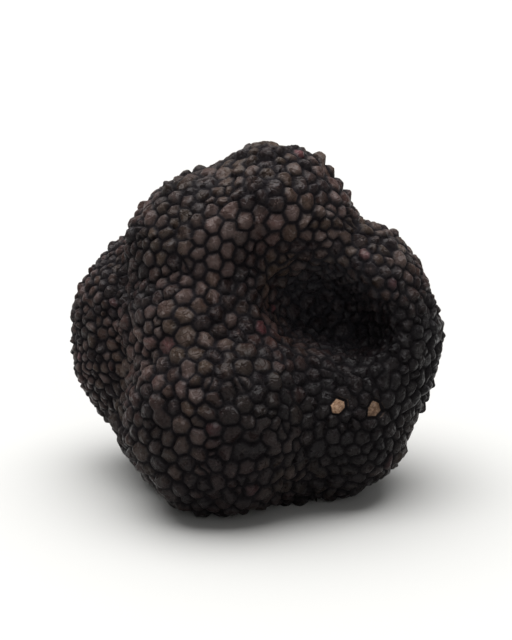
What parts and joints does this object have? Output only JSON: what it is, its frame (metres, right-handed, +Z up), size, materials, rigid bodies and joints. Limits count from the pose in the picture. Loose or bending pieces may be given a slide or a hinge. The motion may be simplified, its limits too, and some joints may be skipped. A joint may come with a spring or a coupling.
{
  "type": "black truffle",
  "caption": "Whole black truffle: a lobed, knobbly tuber with a deep hollow in front, covered in small polygonal warts; rests on its flattened underside.",
  "frame": {"origin": "bottom centre of the bounding box, on the surface that the truffle rests on", "axes": "+Z up; -Y is the front, with the hollow; +X is to the right seen from the front, along the longest side"},
  "size_m": [0.056, 0.0448, 0.0511],
  "materials": {
    "skin": "matte, brown-black, warty"
  },
  "bodies": {
    "root": {"truffle": "skin"}
  },
  "joints": []
}
